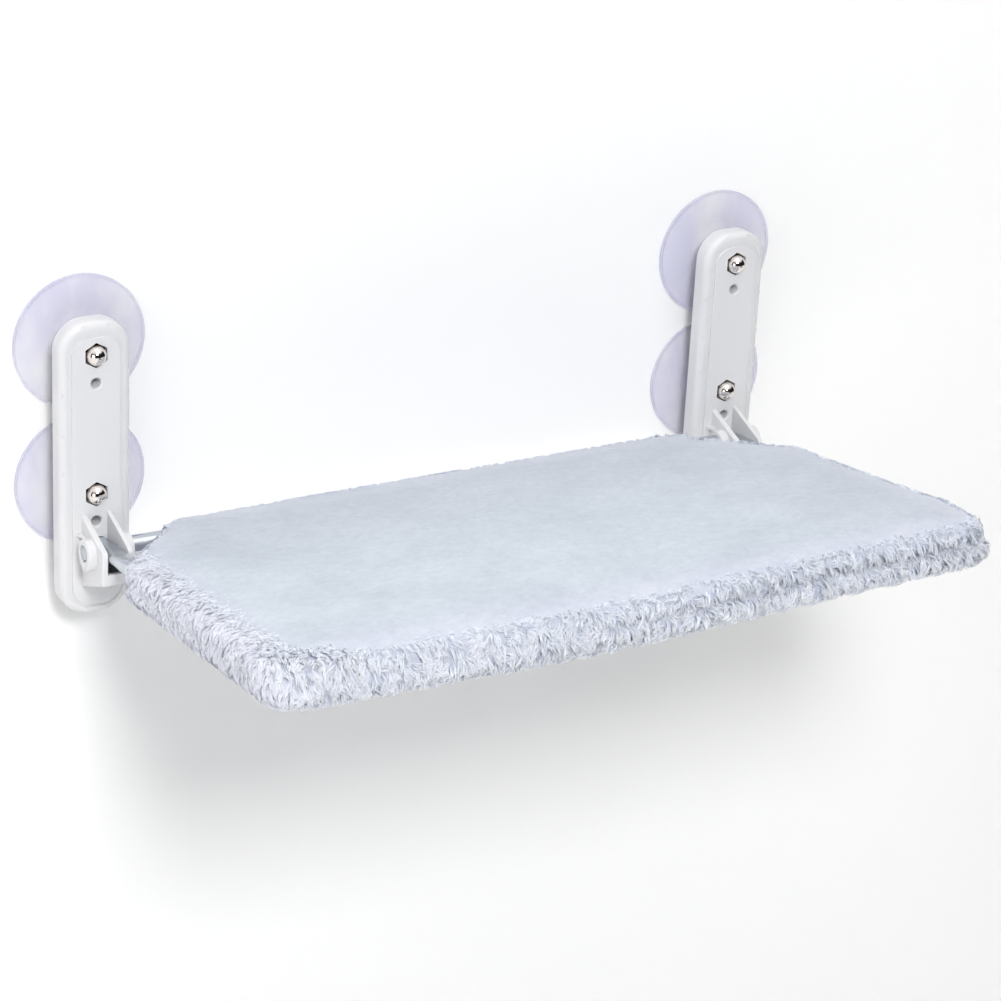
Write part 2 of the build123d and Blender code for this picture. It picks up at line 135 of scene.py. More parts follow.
# Pile
pile_seed = 41
clump_area = 0.0000046  # of skin for each clump of hairs
clump_radius = 0.0018
clump_hairs = 8
hair_steps = 4
hair_length = 0.0078
hair_lift = 0.0034  # how far a clump stands off the skin
hair_swing = 0.0013
hair_width = 0.00062
hair_widths = (0.85, 1.0, 0.85, 0.55)
hair_peak = 0.65  # share of its length at which a hair stands highest
hair_droop = 0.55
hair_wave = 3.8  # radians of its swing, from root to tip
tip_gather = 0.72  # how far the tips of a clump draw together
root_depth = 0.0005
skin_bend = 0.0150  # radius that the pile follows round the rim
pile_top_start = 0.0110  # the long pile starts to thin this far in on the top
pile_top_end = 0.0330
pile_front_start = 0.0020  # and this far in along the front
pile_front_end = 0.0140
pile_crisp_end = 0.0090  # and where the edge is crisp it ends this far in
pile_low_start = 0.0060  # on the underside
pile_low_end = 0.0120
pile_upper = 0.0060  # the upper half's pile starts this far under the middle
pile_front_reach = (0.2043, 0.2343)
pile_corner = (0.020, 0.070)  # distances from the left side, to where the front's pile starts
pile_notch = 0.012  # the notches' long pile starts this far before them
pile_bend_end = (0.009, 0.016)
pile_front_piece = 0.2343  # reach from which pile belongs to the front's pieces
curly_x = (-0.22, -0.06)  # the pile is soft on the left and curly from here on
curly_corner = (0.004, 0.020)
seam_spread = 0.0022  # half width of the short pile along the crease
curly_front = 0.75  # how curly it is along the whole front
swirl_sizes = (0.013, 0.0048)
swirl_turns = (1.7, 1.9)  # radians by which the broad and the fine swirls turn the pile
swirl_scatter = 0.3
swirl_shift = 1.0
# Shares of the pile's size, length, lift and swing that are left at certain places
crisp_start = 0.3  # of the distance in to where it starts to thin, where the edge is crisp
thin_size = 0.35  # where it ends
thin_share = 0.45  # of its full size, under which there are fewer clumps
seam_size = 0.60
crisp_size = 0.34
notch_size = 0.70
crisp_nap = 0.75  # how far it looks like the nap where the edge is crisp
flat_power = 0.7
under_facing = (0.3, 0.8)  # it ends where the skin faces down
upright_facing = (0.5, 0.9)  # it is upright where the skin faces up
upright_length = 0.6
upright_lift = 1.3
small_lift = 0.25
soft_lift = 0.7
flat_lift = 0.35
soft_turn = 0.35
soft_swing = 0.4
# Spreads of random shares
clump_lengths = (0.8, 1.2)
hair_lengths = (0.75, 1.1)
hair_lifts = (0.7, 1.1)
hair_swings = (0.6, 1.2)
phase_scatter = 0.4
hair_tilts = (0.15, 0.45)  # how unevenly the hairs face, in soft and in curly pile
# Colours at a hair's root, middle and tip. The darker roots are painted shade for the gaps between the
# clumps.
pile_soft = ((0.84, 0.86, 0.94), (0.89, 0.905, 0.98), (0.92, 0.935, 1.0))
pile_curly = ((0.58, 0.64, 0.79), (0.88, 0.92, 1.0), (0.97, 0.985, 1.0))
pile_nap = ((0.70, 0.75, 0.84), (0.74, 0.79, 0.87), (0.76, 0.81, 0.88))
colour_places = (0.0, 0.45, 1.0)
pile_crease_painted_shade = 0.15  # how much darker the pile is along the crease, as painted shade
hair_shades = (0.08, 0.26)  # and how much darker a hair can be in soft and in curly pile
nap_shade = 0.4  # share of that in pile that looks like the nap
clump_shade = 0.4  # share of that which all hairs of a clump have alike

# Sleeves, sling, foam and zip
sleeve_start = 0.170
sleeve_end = 0.1875
sleeve_radius = 0.0084
sleeve_ruffles = 7
sleeve_ruffle = 0.0009
sleeve_flare = 0.0006
sleeve_wave = 0.0012
sling_insets = (0.0, 0.012, 0.030, 0.055, 0.085, 0.110)
sling_sag_shares = (0.0, 0.1, 0.4, 0.75, 0.95, 1.0)
sling_sag = 0.0015
sling_thickness = 0.0006
sling_thread = 0.0008
hem_radius = 0.0070
hem_stop = 0.006  # hems end this far short of the bends
frame_bend = 0.030
side_hem_start = 0.062
foam_edge = 0.0230  # inside the cover's outline
foam_rear = 0.0100
foam_top = 0.0074
foam_low = 0.0058
foam_corner = 0.0070
foam_soft = 0.0020  # size of its rounded edge
foam_cut = 0.0006
foam_top_insets = (0.090, 0.050, 0.020)
foam_low_insets = (0.020, 0.060)
zip_length = 0.300
zip_width = 0.013
zip_reach = 0.034
tape_gap = 0.0012
tape_thickness = 0.0005
tape_thread = 0.0006
tape_shares = (0.0, 0.33, 0.67, 1.0)
tape_steps = 150
tape_lift = 0.0006  # over the bed's underside
tape_ripple = 0.00012
tape_ripple_length = 0.0035
coil_pitch = 0.0015
coil_steps = 8  # points on each turn
coil_wire = 0.00026
coil_offset = 0.00075  # of a coil's middle from the zip's middle
coil_half_width = 0.00088
coil_half_height = 0.00032
coil_drop = 0.00028

# Depths of the fine marks of the materials
plastic_grain = 0.00004
metal_grain = 0.00002
cup_wave = 0.0004
weave_depth = 0.00015
nap_depth = 0.0011
hair_depth = 0.0001
cell_depth = 0.0004

joint = {j["name"]: j for j in frame["joints"]}
pin = Vector(joint["platform_fold"]["pos_m"])
side_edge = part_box("cushion_cover")[1][0]
tube_x = side_edge - bed_side
front_tube = bed_front_reach - bed_side
rng = np.random.default_rng(pile_seed)


def to_room(places):
    """Places on the bed, as an array of (x, reach, height), in the model's frame."""
    places = np.asarray(places, float)
    turn = radians(rest_tilt)
    reach, height = places[..., 1], places[..., 2]
    y = pin.y - reach * cos(turn) + height * sin(turn)
    z = pin.z + reach * sin(turn) + height * cos(turn)
    return np.stack([places[..., 0], y, z], -1)


def to_bed(points):
    """The other way round."""
    points = np.asarray(points, float)
    turn = radians(rest_tilt)
    y, z = points[..., 1] - pin.y, points[..., 2] - pin.z
    reach = -y * cos(turn) + z * sin(turn)
    height = y * sin(turn) + z * cos(turn)
    return np.stack([points[..., 0], reach, height], -1)


def ease(value, start, end):
    """0 before the start, 1 after the end, and smooth between them."""
    share = np.clip((np.asarray(value, float) - start) / (end - start), 0, 1)
    return share * share * (3 - 2 * share)


def blend(start, end, share):
    """From one value to another, by a share."""
    return start + (end - start) * share


def lie(places):
    """Places on the pad, moved to how the soft pad lies."""
    places = np.array(places, float)
    x, reach = places[..., 0], places[..., 1]
    ahead = np.clip(reach / bed_front_reach, 0, 1) ** 2
    right = np.clip(x / side_edge, 0, 1)
    low = ease(-places[..., 2], -pad_low_start, -pad_low_end)
    bow = np.exp(-((x - pad_bow_middle) / pad_bow_spread) ** 2)
    lift = pad_lift * right * (1 - low) - (pad_sag + pad_belly * bow - pad_low_lift * right) * low
    return places + np.stack([
        (pad_growth + pad_low_growth * low) * ahead * right,
        pad_bow * ahead * bow,
        ahead * lift,
    ], -1)


def unit(vectors):
    return vectors / np.maximum(np.linalg.norm(vectors, axis=-1, keepdims=True), tiny)


# Materials

def new_material(name):
    material = bpy.data.materials.new(name)
    material.use_nodes = True
    tree = material.node_tree
    return material, tree, tree.nodes["Principled BSDF"]


def feed(socket, value):
    """Links an input to an output, or gives it a value."""
    if isinstance(value, bpy.types.NodeSocket):
        socket.id_data.links.new(value, socket)
    else:
        socket.default_value = value


def put(node, *inputs, **values):
    """Sets a node's inputs, in order or by their names, and its settings."""
    names = [socket.name.lower().replace(" ", "_") for socket in node.inputs]
    sockets = dict(enumerate(inputs))
    for key, value in values.items():
        if key in names:
            sockets[names.index(key)] = value
        else:
            setattr(node, key, value)
    for i, value in sockets.items():
        feed(node.inputs[i], value)
    return node


def add(tree, kind, *inputs, **values):
    """A new shader node, with its inputs and settings."""
    return put(tree.nodes.new(f"ShaderNode{kind}"), *inputs, **values)


def noise_texture(tree, scale, detail=4.0, roughness=0.55, stretch=(1, 1, 1), distortion=0.0):
    """Noise over the object's own coordinates, which can be stretched."""
    place = add(tree, "TexCoord").outputs["Object"]
    place = add(tree, "Mapping", place, scale=stretch).outputs["Vector"]
    texture = add(
        tree, "TexNoise", place, scale=scale, detail=detail, roughness=roughness, distortion=distortion
    )
    return texture.outputs["Fac"]


def ramp(tree, value, stops):
    """Colour ramp with stops given as (place, colour)."""
    node = add(tree, "ValToRGB", value)
    elements = node.color_ramp.elements
    while len(elements) < len(stops):
        elements.new(0.5)
    for element, (place, colour) in zip(elements, stops):
        element.position = place
        element.color = (*colour, 1.0)
    return node.outputs["Color"]


def mix(tree, kind, share, first, second):
    node = add(tree, "Mix", share, data_type="RGBA", blend_type=kind)
    feed(node.inputs[6], first)
    feed(node.inputs[7], second)
    return node.outputs[2]


def between(tree, share, low, high):
    """Spreads a share from 0 to 1 between two values."""
    return add(tree, "MapRange", share, to_min=low, to_max=high).outputs["Result"]


def bump(tree, heights, strength, distance):
    """Normals for the sum of several heights, given as (value, share)."""
    total = 0.0
    for value, share in heights:
        total = add(tree, "Math", value, share, total, operation="MULTIPLY_ADD").outputs[0]
    return add(tree, "Bump", strength=strength, distance=distance, height=total).outputs["Normal"]


def plastic(name, dark, light, roughness):
    """Moulded plastic with a fine grain and a faint unevenness of colour."""
    material, tree, shader = new_material(name)
    broad = noise_texture(tree, 14.0, detail=3.0)
    fine = noise_texture(tree, 900.0, detail=2.0)
    put(shader, base_color=ramp(tree, broad, [(0.3, dark), (0.7, light)]), ior=1.5)
    put(shader, roughness=between(tree, broad, *roughness))
    put(shader, normal=bump(tree, [(fine, 1.0)], 0.25, plastic_grain))
    return material


def metal(name, dark, light, roughness, grain=260.0, stretch=(1, 1, 1)):
    """Plated metal with drawn or cloudy marks."""
    material, tree, shader = new_material(name)
    marks = noise_texture(tree, grain, detail=5.0, stretch=stretch)
    put(shader, base_color=ramp(tree, marks, [(0.3, dark), (0.7, light)]), metallic=1.0)
    put(shader, roughness=between(tree, marks, *roughness))
    put(shader, normal=bump(tree, [(marks, 1.0)], 0.2, metal_grain))
    return material


def domed_nickel(name, shade_front):
    """Polished nickel domes, with painted shade on the hexagons: dark brown behind a given place along
    Y.
    """
    material = metal(name, (0.80, 0.74, 0.69), (0.86, 0.81, 0.77), (0.05, 0.09), 120.0)
    tree = material.node_tree
    shader = tree.nodes["Principled BSDF"]
    place = add(tree, "TexCoord").outputs["Object"]
    depth = add(tree, "SeparateXYZ", place).outputs["Y"]
    shaded = add(tree, "Math", depth, shade_front, operation="GREATER_THAN").outputs[0]
    polished = shader.inputs["Base Color"].links[0].from_socket
    # painted shade: the hexagons behind the domes are coloured dark brown
    put(shader, base_color=mix(tree, "MIX", shaded, polished, (0.10, 0.075, 0.055, 1.0)))
    return material


def clear_cup(name, centre):
    """Soft clear plastic, a little lilac, with a darker lip, pale streaks that are painted highlights,
    and waves.
    """
    material, tree, shader = new_material(name)
    place = add(tree, "TexCoord").outputs["Object"]
    distance = add(tree, "VectorMath", place, centre, operation="DISTANCE").outputs["Value"]
    share = add(tree, "MapRange", distance, from_max=cup_radius).outputs["Result"]
    rings = ramp(tree, share, [
        (0.0, (0.74, 0.725, 0.90)), (0.95, (0.76, 0.745, 0.91)), (0.985, (0.57, 0.555, 0.79)),
        (1.0, (0.62, 0.605, 0.82)),
    ])
    # painted highlights: pale streaks, brighter than the plastic's own colour where they are strongest
    highlight_patches = noise_texture(tree, 38.0, detail=3.0, stretch=(1.0, 1.0, 0.45))
    painted_highlights = ramp(tree, highlight_patches, [(0.42, (0.97, 0.97, 1.0)), (0.72, (1.2, 1.22, 1.05))])
    wave = noise_texture(tree, 22.0, detail=1.0, stretch=(1.0, 1.0, 0.4))
    put(shader, base_color=mix(tree, "MULTIPLY", 1.0, rings, painted_highlights))
    put(shader, normal=bump(tree, [(wave, 1.0)], 0.4, cup_wave))
    put(shader, alpha=0.32, roughness=0.18, ior=1.42)
    return material


def woven(name, dark, light, thread):
    """Woven cloth: two crossed sets of waves, with a little wear."""
    material, tree, shader = new_material(name)
    place = add(tree, "TexCoord").outputs["Object"]
    sets = []
    for direction in ("X", "Y"):
        wave = add(tree, "TexWave", place, scale=1 / thread, distortion=0.6, bands_direction=direction)
        sets.append((wave.outputs["Fac"], 0.5))
    broad = noise_texture(tree, 60.0, detail=6.0)
    put(shader, base_color=ramp(tree, broad, [(0.3, dark), (0.7, light)]))
    put(shader, normal=bump(tree, sets, 0.6, weave_depth), roughness=0.9, sheen_weight=0.2)
    return material


def nap(name):
    """Short brushed pile, pale and mottled by how it lies, lighter at the rim and darker far off."""
    material, tree, shader = new_material(name)
    lay = noise_texture(tree, 26.0, 7.0, 0.62, (0.7, 1.0, 1.0), distortion=0.4)
    middle = ramp(tree, lay, [
        (0.30, (0.460, 0.510, 0.580)), (0.50, (0.500, 0.552, 0.622)), (0.72, (0.545, 0.595, 0.662)),
    ])
    rim = ramp(tree, lay, [(0.30, (0.530, 0.560, 0.655)), (0.72, (0.620, 0.640, 0.725))])
    far = ramp(tree, lay, [(0.30, (0.415, 0.457, 0.525)), (0.72, (0.490, 0.532, 0.600))])
    for attribute_name, colour in (("far", far), ("rim", rim)):
        share = add(tree, "Attribute", attribute_name=attribute_name).outputs["Fac"]
        middle = mix(tree, "MIX", share, middle, colour)
    speckle = noise_texture(tree, 210.0, 6.0, 0.7, (0.8, 1.0, 1.0), distortion=0.5)
    grain = ramp(tree, speckle, [(0.32, (0.90, 0.905, 0.92)), (0.62, (1.04, 1.04, 1.035))])
    hair = noise_texture(tree, 750.0, detail=3.0, stretch=(0.5, 1.0, 1.0))
    tuft = noise_texture(tree, 190.0, detail=5.0, roughness=0.6, distortion=0.8)
    put(shader, base_color=mix(tree, "MULTIPLY", 1.0, middle, grain), roughness=0.95)
    put(shader, normal=bump(tree, [(hair, 0.3), (tuft, 0.5), (lay, 0.4)], 0.7, nap_depth))
    put(shader, sheen_weight=0.3, sheen_roughness=0.6, specular_ior_level=0.1)
    return material


def long_pile(name):
    """Long pile, in the colours kept with each hair."""
    material, tree, shader = new_material(name)
    kept = add(tree, "Attribute", attribute_name="pile").outputs["Color"]
    fine = noise_texture(tree, 1500.0, detail=2.0)
    own = ramp(tree, fine, [(0.3, (0.93, 0.93, 0.95)), (0.7, (1.0, 1.0, 1.0))])
    put(shader, base_color=mix(tree, "MULTIPLY", 1.0, kept, own))
    put(shader, normal=bump(tree, [(fine, 1.0)], 0.2, hair_depth))
    put(shader, roughness=0.8, sheen_weight=0.2, specular_ior_level=0.2)
    return material


def open_foam(name):
    material, tree, shader = new_material(name)
    place = add(tree, "TexCoord").outputs["Object"]
    cells = add(tree, "TexVoronoi", place, scale=900.0).outputs["Distance"]
    stops = [(0.0, (0.62, 0.58, 0.45)), (0.6, (0.83, 0.80, 0.70))]
    put(shader, base_color=ramp(tree, cells, stops), roughness=0.95)
    put(shader, normal=bump(tree, [(cells, 1.0)], 0.6, cell_depth))
    return material


def wear(piece, *materials):
    piece.data.materials.clear()
    for material in materials:
        piece.data.materials.append(material)


# Mesh helpers

def new_object(name, data):
    item = bpy.data.objects.new(name, data)
    bpy.context.scene.collection.objects.link(item)
    return item


def new_piece(name, vertices, faces, material, smooth=True):
    mesh = bpy.data.meshes.new(name)
    mesh.from_pydata([tuple(v) for v in vertices], [], faces)
    mesh.validate()
    piece = new_object(name, mesh)
    mesh.shade_smooth() if smooth else mesh.shade_flat()
    wear(piece, material)
    return piece


def apply_modifier(piece, name, kind, **settings):
    modifier = piece.modifiers.new(name, kind)
    for key, value in settings.items():
        setattr(modifier, key, value)
    bpy.context.view_layer.objects.active = piece
    bpy.ops.object.modifier_apply(modifier=modifier.name)


def face_outward(piece):
    shape = bmesh.new()
    shape.from_mesh(piece.data)
    bmesh.ops.recalc_face_normals(shape, faces=shape.faces)
    shape.to_mesh(piece.data)
    shape.free()


def vertex_values(piece, key):
    """The places or the normals of a mesh's vertices, as an array."""
    source = piece.data.vertices if key == "co" else piece.data.vertex_normals
    values = np.empty(len(source) * 3, np.float32)
    source.foreach_get("co" if key == "co" else "vector", values)
    return values.reshape(-1, 3).astype(float)


def move_vertices(piece, places):
    piece.data.vertices.foreach_set("co", np.asarray(places, np.float32).ravel())
    piece.data.update()


def paint(piece, name, shares):
    """Keeps a value from 0 to 1 for each vertex, for the material."""
    colours = np.ones((len(shares), 4), np.float32)
    colours[:, :3] = np.asarray(shares)[:, None]
    layer = piece.data.color_attributes.new(name, "FLOAT_COLOR", "POINT")
    layer.data.foreach_set("color", colours.ravel())


def grid_faces(rows, columns, start=0, closed=True, joined=False):
    """Faces between rows of points. A row can close round, and the last row can join the first."""
    faces = []
    for row in range(rows if joined else rows - 1):
        a, b = start + row * columns, start + (row + 1) % rows * columns
        for i in range(columns if closed else columns - 1):
            j = (i + 1) % columns
            faces.append((a + i, a + j, b + j, b + i))
    return faces


def sweep(lines, radius, sides, closed=False):
    """Vertices and faces of round tubes along lines of points."""
    vertices, faces = [], []
    for line in lines:
        line = np.asarray(line, float)
        count = len(line)
        if closed:
            along = unit(np.roll(line, -1, axis=0) - np.roll(line, 1, axis=0))
        else:
            along = unit(np.gradient(line, axis=0))
        guide = np.array([0.31, 0.42, 0.85])
        side = unit(np.cross(along, guide))
        other = np.cross(along, side)
        start = len(vertices)
        for i in range(count):
            for k in range(sides):
                turn = 2 * pi * k / sides
                vertices.append(line[i] + radius * (cos(turn) * side[i] + sin(turn) * other[i]))
        faces += grid_faces(count, sides, start, joined=closed)
        if not closed:
            faces.append(tuple(start + k for k in reversed(range(sides))))
            faces.append(tuple(start + (count - 1) * sides + k for k in range(sides)))
    return vertices, faces


def bed_corners(inset):
    """Right half of the bed's outline, drawn in: (x, reach, radius) of each corner."""
    cut = hypot(bed_notch_width, bed_notch_reach)
    rear_x = side_edge - bed_notch_width - inset * (cut - bed_notch_width) / bed_notch_reach
    side_reach = bed_notch_reach - bed_rear_reach
    side_reach += inset * (cut - bed_notch_reach) / bed_notch_width
    return [
        (rear_x, inset - bed_rear_reach, bed_rear_corner - inset),
        (side_edge - inset, side_reach, bed_side_corner - inset),
        (side_edge - inset, bed_front_reach - inset, bed_front_corner - inset),
    ]


def both_halves(right):
    return right + [(-x, reach, radius) for x, reach, radius in reversed(right)]


def bed_ring(inset, corner_limit=tight_corner):
    """Points of the bed's outline, drawn in, with round corners. Every ring has as many points."""
    corners = both_halves(bed_corners(inset))
    widest = both_halves(bed_corners(0))
    spans = []
    for (x0, y0, _), (x1, y1, _) in zip(widest, widest[1:] + widest[:1]):
        spans.append(max(1, round(hypot(x1 - x0, y1 - y0) / side_step)))
    arcs = []
    for i, (x, y, radius) in enumerate(corners):
        here = Vector((x, y))
        before = (Vector(corners[i - 1][:2]) - here).normalized()
        after = (Vector(corners[(i + 1) % len(corners)][:2]) - here).normalized()
        radius = max(radius, corner_limit)
        half = before.angle(after) / 2
        middle = here + (before + after).normalized() * radius / sin(half)
        start = here + before * radius / np.tan(half) - middle
        end = here + after * radius / np.tan(half) - middle
        swing = start.angle_signed(end)
        arcs.append([
            middle + Matrix.Rotation(-swing * k / arc_steps, 2) @ start for k in range(arc_steps + 1)
        ])
    ring = []
    for i, arc in enumerate(arcs):
        following = arcs[(i + 1) % len(arcs)][0]
        ring += arc
        ring += [arc[-1].lerp(following, k / spans[i]) for k in range(1, spans[i])]
    return np.array([(p.x, p.y) for p in ring])


def layered(rings):
    """Closed mesh through rings of equal length, with both ends filled."""
    places = np.concatenate(rings)
    count = len(rings[0])
    faces = grid_faces(len(rings), count)
    faces.append(tuple(range(count))[::-1])
    last = (len(rings) - 1) * count
    faces.append(tuple(last + i for i in range(count)))
    return to_room(places), faces


def edge_offsets(bed_places):
    """From each place on the bed to the nearest point of the bed's outline, seen from above."""
    ring = bed_ring(0)
    nearest = np.full(len(bed_places), np.inf)
    best = np.zeros((len(bed_places), 2))
    for a, d in zip(ring, np.roll(ring, -1, axis=0) - ring):
        offset = bed_places[:, :2] - a
        share = np.clip(offset @ d / (d @ d), 0, 1)
        gap = share[:, None] * d - offset
        length = np.linalg.norm(gap, axis=1)
        closer = length < nearest
        nearest[closer] = length[closer]
        best[closer] = gap[closer]
    return best


def uneven(places, size):
    """Smooth noise, from about -1 to 1, at places on the bed."""
    return np.array([noise.noise(Vector(place) / size) for place in places])


# Cover

def crispness(x, reach):
    """Where the cover's edge is crisp: 1 at the rear and, for its upper half, along the right side."""
    rear = 1 - ease(reach, *crisp_rear)
    right = ease(x, *crisp_right) * (1 - ease(reach, *crisp_front))
    return rear, np.maximum(rear, right)


def cover_rings():
    """Rings from the middle of the top, over the rounded side, to the underside."""
    outline = bed_ring(0)
    rear, upper = crispness(*outline.T)
    rows = []
    for inset, share in zip(top_insets, top_rise_shares):
        rows.append((upper, [(inset, blend(high, skin_top, share)) for high in skin_high]))
    for k in range(2 * side_rows + 1):
        level = 1 - k / side_rows
        kinds = []
        for side, above, high, depth, power in zip(
            skin_side, skin_upper, skin_high, skin_round, skin_round_power
        ):
            bend = 1 - (1 - abs(level) ** power) ** (1 / power)
            height = (high - skin_low) / 2 + level * (high + skin_low) / 2
            kinds.append((side + above * max(level, 0) + depth * bend, height))
        rows.append((blend(rear, upper, ease(level, -0.3, 0.3)), kinds))
    for inset in under_insets:
        rows.append((rear, [(skin_side[0] + skin_round[0] + inset, -skin_low)] * 2))
    rings = []
    for share, (soft, crisp) in rows:
        place = bed_ring(soft[0]) * (1 - share)[:, None] + bed_ring(crisp[0]) * share[:, None]
        height = soft[1] * (1 - share) + crisp[1] * share
        rings.append(np.column_stack([place, height]))
    return rings


def settle(piece, cap, still):
    """Puffs a closed piece up like stuffed cloth. No point moves further than the cap."""
    before = vertex_values(piece, "co")
    group = piece.vertex_groups.new(name="held")
    group.add([int(i) for i in np.flatnonzero(still)], 1.0, "REPLACE")
    modifier = piece.modifiers.new("stuffed", "CLOTH")
    settings = modifier.settings
    settings.quality = 4
    settings.mass = 0.2
    settings.use_pressure = True
    settings.uniform_pressure_force = stuffing_pressure
    settings.effector_weights.gravity = 0.0
    settings.vertex_group_mass = "held"
    modifier.point_cache.frame_start = 1
    modifier.point_cache.frame_end = stuffing_frames
    scene = bpy.context.scene
    for number in range(1, stuffing_frames + 1):
        scene.frame_set(number)
    graph = bpy.context.evaluated_depsgraph_get()
    after = np.array([v.co[:] for v in piece.evaluated_get(graph).data.vertices])
    piece.modifiers.remove(modifier)
    piece.vertex_groups.remove(group)
    scene.frame_set(1)
    move = after - before
    length = np.linalg.norm(move, axis=1, keepdims=True)
    move_vertices(piece, before + move * np.minimum(1, cap / np.maximum(length, tiny)))


def plush_cover():
    """Closed skin of the cover, stuffed, with the crease between its two rolls carved after."""
    vertices, faces = layered(cover_rings())
    piece = new_piece("plush_cover", vertices, faces, nap("plush_nap"))
    face_outward(piece)
    apply_modifier(piece, "cells", "REMESH", mode="VOXEL", voxel_size=skin_cell)
    settle(piece, stuffing_cap, to_bed(vertex_values(piece, "co"))[:, 2] < -bed_crease)
    apply_modifier(piece, "rounder", "SUBSURF", levels=1, render_levels=1)
    piece.data.shade_smooth()
    places = to_bed(vertex_values(piece, "co"))
    offsets = edge_offsets(places)
    inside = np.linalg.norm(offsets, axis=1)
    band = np.clip(np.abs(places[:, 2] + bed_crease) / crease_half_width, 0, 1)
    depth = crease_depth * np.cos(band * pi / 2) ** 2 * (1 - ease(inside, *crease_end))
    depth *= blend(crease_least_share, 1, ease(places[:, 0], *crease_x))
    places[:, :2] -= unit(offsets) * depth[:, None]
    on_top = ease(places[:, 2], 0.0, skin_high[0]) * ease(inside, *dent_start)
    places[:, 2] += dent_depth * uneven(places, dent_size) * on_top
    move_vertices(piece, to_room(places))
    crisp = crispness(*places[:, :2].T)[1]
    rim = (1 - ease(inside, *rim_band)) * (1 - 0.6 * crisp)
    paint(piece, "rim", np.maximum(rim, 1 - ease(places[:, 2], 0.0, rim_height)))
    x, reach = places[:, 0], places[:, 1]
    paint(piece, "far", np.maximum(1 - ease(reach, *nap_far_reach), ease(x, *nap_far_x)))
    base = woven("base_weave", (0.30, 0.34, 0.40), (0.38, 0.42, 0.48), base_thread)
    wear(piece, piece.data.materials[0], base)
    under = (places[:, 2] < base_margin - skin_low) & (inside > base_inset)
    for face in piece.data.polygons:
        face.material_index = int(under[list(face.vertices)].all())
    return piece


skin = plush_cover()


def sampled(piece, area_each):
    """Even random points on a mesh, with their normals."""
    mesh = piece.data
    mesh.calc_loop_triangles()
    count = len(mesh.loop_triangles)
    corners = np.empty(count * 3, np.int32)
    mesh.loop_triangles.foreach_get("vertices", corners)
    corners = corners.reshape(-1, 3)
    places, normals = vertex_values(piece, "co"), vertex_values(piece, "normal")
    a, b, c = (places[corners[:, i]] for i in range(3))
    area = np.linalg.norm(np.cross(b - a, c - a), axis=1) / 2
    number = int(area.sum() / area_each)
    chosen = rng.choice(count, number, p=area / area.sum())
    u, v = rng.random((2, number, 1))
    flip = u + v > 1
    u, v = np.where(flip, 1 - u, u), np.where(flip, 1 - v, v)
    shares = np.stack([1 - u - v, u, v])
    ids = corners[chosen].T
    return (shares * places[ids]).sum(0), unit((shares * normals[ids]).sum(0))


def pile_clumps():
    """The clumps of pile round the rim, on the bed: places, normals, ways, and what they are like."""
    points, normals = sampled(skin, clump_area)
    places = to_bed(points)
    normals = unit(to_bed(points + normals) - places)
    offsets = edge_offsets(places)
    inside = np.linalg.norm(offsets, axis=1)
    x, reach, height = places.T
    rear, crisp = crispness(x, reach)
    above = ease(height, -pile_upper, 0.0)
    crisp = blend(rear, crisp, above)
    front = ease(reach, *pile_front_reach)
    ahead = front * ease(x + side_edge, *pile_corner)
    end = blend(blend(pile_top_end, pile_front_end, ahead), pile_crisp_end, crisp)
    start = blend(pile_top_start, pile_front_start, ahead) * blend(1, crisp_start, crisp)
    top = 1 - np.where(height > 0, ease((inside - start) / (end - start), 0, 1), 0)
    low = 1 - ease(-normals[:, 2], *under_facing) * ease(inside, pile_low_start, pile_low_end)
    share = np.where(height > 0, ease(top, 0.0, thin_share), low)
    keep = (rng.random(len(places)) < share) & ((height > 0) | (inside < pile_low_end))
    seam = np.exp(-(((height + bed_crease) / seam_spread) ** 2)) * ease(x, *crease_x)
    notch_x = side_edge - bed_notch_width
    notch = rear * ease(np.abs(x), notch_x - pile_notch, notch_x)
    size = blend(thin_size, 1, np.where(height > 0, top, low)) * blend(1, seam_size, seam)
    size *= blend(1, blend(crisp_size, notch_size, notch), crisp)
    flat = (1 - top) ** flat_power
    like_nap = np.maximum(flat, crisp_nap * crisp * (1 - notch))
    flat *= 1 - crisp
    curly = np.maximum(ease(x, *curly_x), curly_front * front * ease(x + side_edge, *curly_corner))
    outward = np.concatenate([unit(offsets), np.zeros((len(places), 1))], axis=1)
    comb = outward + np.array([0.0, 0.0, -1.0])
    comb = unit(comb - (comb * normals).sum(1, keepdims=True) * normals)
    rows = np.flatnonzero(keep)
    places, normals, comb, curly, size, like_nap, flat, above, inside, seam = (
        values[rows] for values in (
            places, normals, comb, curly, size, like_nap, flat, above, inside, seam
        )
    )
    swirl = swirl_turns[0] * uneven(places, swirl_sizes[0])
    swirl += swirl_turns[1] * uneven(places + swirl_shift, swirl_sizes[1])
    swirl = swirl * blend(soft_turn, 1, curly) + swirl_scatter * rng.normal(size=len(rows))
    comb = np.cos(swirl)[:, None] * comb + np.sin(swirl)[:, None] * np.cross(normals, comb)
    rounding = (1 - ease(inside, *pile_bend_end)) / skin_bend
    upright = above * ease(normals[:, 2], *upright_facing) * curly
    # Painted shade: the pile is coloured darker along the crease between the two rolls
    crease_shade = 1 - pile_crease_painted_shade * seam
    return places, normals, comb, size, curly, like_nap, flat, upright, rounding, crease_shade


